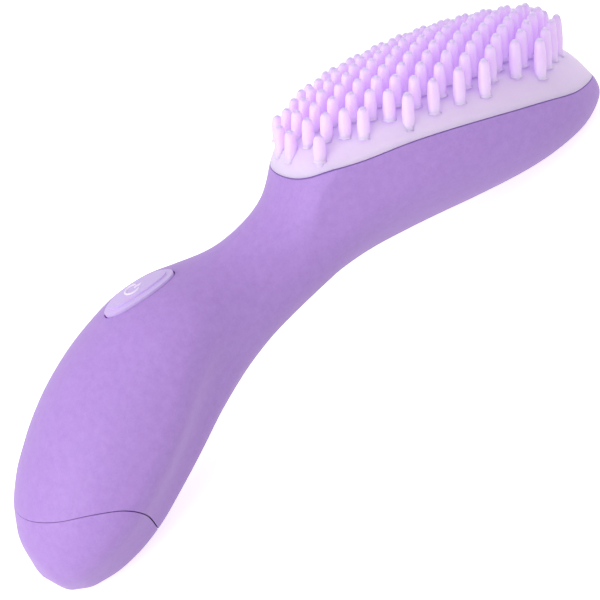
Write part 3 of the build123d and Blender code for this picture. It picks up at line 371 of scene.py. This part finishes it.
icon_mesh.materials.append(symbol_finish)
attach(power_symbol, "button")

# ---------------------------------------------------------------- silicone nubs with smooth spindle shapes
NUB_LEAN = math.radians(34)
PAD_WALL = 2.2 * MM
nub_way = Vector((math.sin(NUB_LEAN), 0, math.cos(NUB_LEAN)))
column_way = Vector((math.cos(NUB_LEAN), 0, -math.sin(NUB_LEAN)))
pad_surface = surface_of("bristle_pad")
pad_low, pad_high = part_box("bristle_pad")
pad_corner = Vector((pad_low[0], pad_low[1], pad_low[2]))
GRID = 0.3 * MM
REACH = 60 * MM


def pad_height(u, v, outwards=False):
    """Distance along the nubs' direction of the pad's outer face, or of its inner face seen from inside."""
    foot = pad_corner + column_way * u + across * v
    if outwards:
        hit = pad_surface.ray_cast(foot - nub_way * REACH, nub_way)[0]
    else:
        hit = pad_surface.ray_cast(foot + nub_way * REACH, -nub_way)[0]
    return None if hit is None else (hit - pad_corner).dot(nub_way)


def nub_tips():
    """Middle of each nub, found as the places that stand highest above their surroundings."""
    columns = int((pad_high[0] - pad_low[0]) * 1.5 / GRID)
    rows = int((pad_high[1] - pad_low[1]) / GRID) + 1
    heights = {}
    for i in range(-columns // 3, columns):
        for j in range(rows + 1):
            height = pad_height(i * GRID, j * GRID)
            if height is not None:
                heights[i, j] = height
    tips = []
    around = [(di, dj) for di in range(-5, 6) for dj in range(-5, 6) if 0 < di * di + dj * dj <= 26]
    ring = [(di, dj) for di in range(-7, 8) for dj in range(-7, 8) if 44 <= di * di + dj * dj <= 52]
    for (i, j), height in heights.items():
        if any(heights.get((i + di, j + dj), -1) > height for di, dj in around):
            continue
        walls = [heights.get((i + di, j + dj), -1) for di, dj in ring]
        if sum(height - wall > 3 * MM for wall in walls) < len(walls) * 0.7:
            continue
        cap = [(di, dj, heights[i + di, j + dj]) for di, dj in around
               if heights.get((i + di, j + dj), -1) > height - 0.25 * MM]
        cap.append((0, 0, height))
        u = (i + sum(di for di, _, _ in cap) / len(cap)) * GRID
        v = (j + sum(dj for _, dj, _ in cap) / len(cap)) * GRID
        if all((u - other[0]) ** 2 + (v - other[1]) ** 2 > (2 * MM) ** 2 for other in tips):
            tips.append((u, v, height))
    return tips


NUB_ROOT = ((1.70, -0.25), (1.40, 0.05), (1.25, 0.50))     # radius and height of the flared foot, in mm
NUB_NECK = 1.25 * MM
NUB_BELLY = 0.13 * MM
NUB_TAPER = 0.14 * MM
SHOULDER = 0.78                 # share of the nub's height where its round tip starts
TIP_RINGS = 4
SIDES = 16
TIP_DROP = 0.05 * MM            # keeps the tips inside the pad's own


def nub_outline(length):
    """Radius and height along a nub: closed foot, full belly, rounded tip."""
    outline = [(0.0, NUB_ROOT[0][1] * MM)]
    outline += [(radius * MM, height * MM) for radius, height in NUB_ROOT]
    for share in (0.25, 0.42, 0.60, SHOULDER):
        swell = NUB_BELLY * math.sin(math.pi * min(1.0, share / 0.8)) - NUB_TAPER * max(0.0, share - 0.4)
        outline.append((NUB_NECK + swell, share * length))
    tip_radius, shoulder = outline[-1]
    for step in range(1, TIP_RINGS):
        angle = math.pi / 2 * step / TIP_RINGS
        outline.append((tip_radius * math.cos(angle), shoulder + (length - shoulder) * math.sin(angle)))
    outline.append((0.0, length))
    return outline


nub_mesh = bmesh.new()
for u, v, peak in nub_tips():
    foot_height = pad_height(u, v, outwards=True) + PAD_WALL * 1.05
    foot = pad_corner + column_way * u + across * v + nub_way * foot_height
    line = [nub_mesh.verts.new(foot + nub_way * height + column_way * radius)
            for radius, height in nub_outline(peak - TIP_DROP - foot_height)]
    edges = [nub_mesh.edges.new(pair) for pair in zip(line, line[1:])]
    bmesh.ops.spin(nub_mesh, geom=line + edges, cent=foot, axis=nub_way, angle=2 * math.pi,
                   steps=SIDES, use_merge=True)
bmesh.ops.remove_doubles(nub_mesh, verts=nub_mesh.verts, dist=0.001 * MM)
bmesh.ops.recalc_face_normals(nub_mesh, faces=nub_mesh.faces)
nub_data = bpy.data.meshes.new("pad_nubs")
nub_mesh.to_mesh(nub_data)
nub_mesh.free()
for face in nub_data.polygons:
    face.use_smooth = True
pad_nubs = bpy.data.objects.new("pad_nubs", nub_data)
bpy.context.scene.collection.objects.link(pad_nubs)
# the nubs get a stronger painted glow (0.12) than the pad, brightening them in place of light scattered
# through the silicone
nub_data.materials.append(silicone("nub_silicone", NUBS, 0.9, 0.12))
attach(pad_nubs, "body")

# ---------------------------------------------------------------- lighter meshes for the big shells
for name, share in (("outer_skin", 0.6), ("lower_housing", 0.6)):
    if len(frame["nodes"][name].data.polygons) > 190000:
        lighten = frame["nodes"][name].modifiers.new("lighten", "DECIMATE")
        lighten.ratio = share

# ---------------------------------------------------------------- floor
FLOOR = 4.0
ground = bmesh.new()
bmesh.ops.create_grid(ground, x_segments=8, y_segments=8, size=FLOOR)
floor_mesh = bpy.data.meshes.new("floor")
ground.to_mesh(floor_mesh)
ground.free()
floor = bpy.data.objects.new("floor", floor_mesh)
bpy.context.scene.collection.objects.link(floor)
floor_pattern = speckled("floor_pattern", (0.93, 0.93, 0.93), (0.92, 0.92, 0.92), (0.94, 0.94, 0.94),
                         0.85, 60.0, 0.00001, 4.0)
floor_finish = material("floor_paint", floor_pattern, Emission_Color=(1, 1, 1, 1), Emission_Strength=0.6)
floor_mesh.materials.append(floor_finish)
floor.visible_diffuse = False

# ---------------------------------------------------------------- light
WORLD_ABOVE = 0.87
WORLD_BELOW = 0.68
world = bpy.data.worlds.new("studio")
bpy.context.scene.world = world
world.use_nodes = True
backdrop = world.node_tree.nodes["Background"]
view_way = world.node_tree.nodes.new("ShaderNodeTexCoord")
parts = world.node_tree.nodes.new("ShaderNodeSeparateXYZ")
glow = world.node_tree.nodes.new("ShaderNodeMapRange")
glow.inputs["From Min"].default_value = -0.6
glow.inputs["From Max"].default_value = 1.0
glow.inputs["To Min"].default_value = WORLD_BELOW
glow.inputs["To Max"].default_value = WORLD_ABOVE
world.node_tree.links.new(view_way.outputs["Generated"], parts.inputs["Vector"])
world.node_tree.links.new(parts.outputs["Z"], glow.inputs["Value"])
world.node_tree.links.new(glow.outputs["Result"], backdrop.inputs["Strength"])
backdrop.inputs["Color"].default_value = (1, 1, 1, 1)


def softbox(name, place, aim, size, power):
    data = bpy.data.lights.new(name, "AREA")
    data.shape = "DISK"
    data.size = size
    data.energy = power
    lamp = bpy.data.objects.new(name, data)
    bpy.context.scene.collection.objects.link(lamp)
    lamp.location = place
    lamp.rotation_mode = "QUATERNION"
    lamp.rotation_quaternion = (Vector(aim) - Vector(place)).to_track_quat("-Z", "Y")
    return lamp


middle = Vector((0.0, 0.0, 0.02))
softbox("key", (-0.85, -0.30, 0.50), middle, 0.7, 4.4)
softbox("fill", (0.5, -0.6, 0.45), middle, 0.8, 0.25)

# ---------------------------------------------------------------- camera
AZIMUTH = math.radians(8.0)
ELEVATION = math.radians(28.0)
DISTANCE = 0.450
CHORD = math.radians(43.6)      # slope of the brush across the picture
FOCUS = 3.3675                  # focal length as a share of the picture's width
aim = Vector((-0.0013, 0.0, 0.0152))
back = Vector((-math.sin(AZIMUTH) * math.cos(ELEVATION), -math.cos(AZIMUTH) * math.cos(ELEVATION),
               math.sin(ELEVATION)))
right = Vector((math.cos(AZIMUTH), -math.sin(AZIMUTH), 0))
up = back.cross(right)
roll = CHORD - math.atan2(math.sin(AZIMUTH) * math.sin(ELEVATION), math.cos(AZIMUTH))
picture_right = right * math.cos(roll) - up * math.sin(roll)
picture_up = right * math.sin(roll) + up * math.cos(roll)
camera_data = bpy.data.cameras.new("camera")
camera_data.sensor_width = 36
camera_data.lens = 36 * FOCUS
camera_data.clip_start = 0.01
camera_data.clip_end = 20
camera = bpy.data.objects.new("camera", camera_data)
bpy.context.scene.collection.objects.link(camera)
camera.matrix_world = Matrix.Translation(aim + back * DISTANCE) @ Matrix(
    (picture_right, picture_up, back)).transposed().to_4x4()
bpy.context.scene.camera = camera
bpy.context.scene.view_settings.view_transform = "Standard"
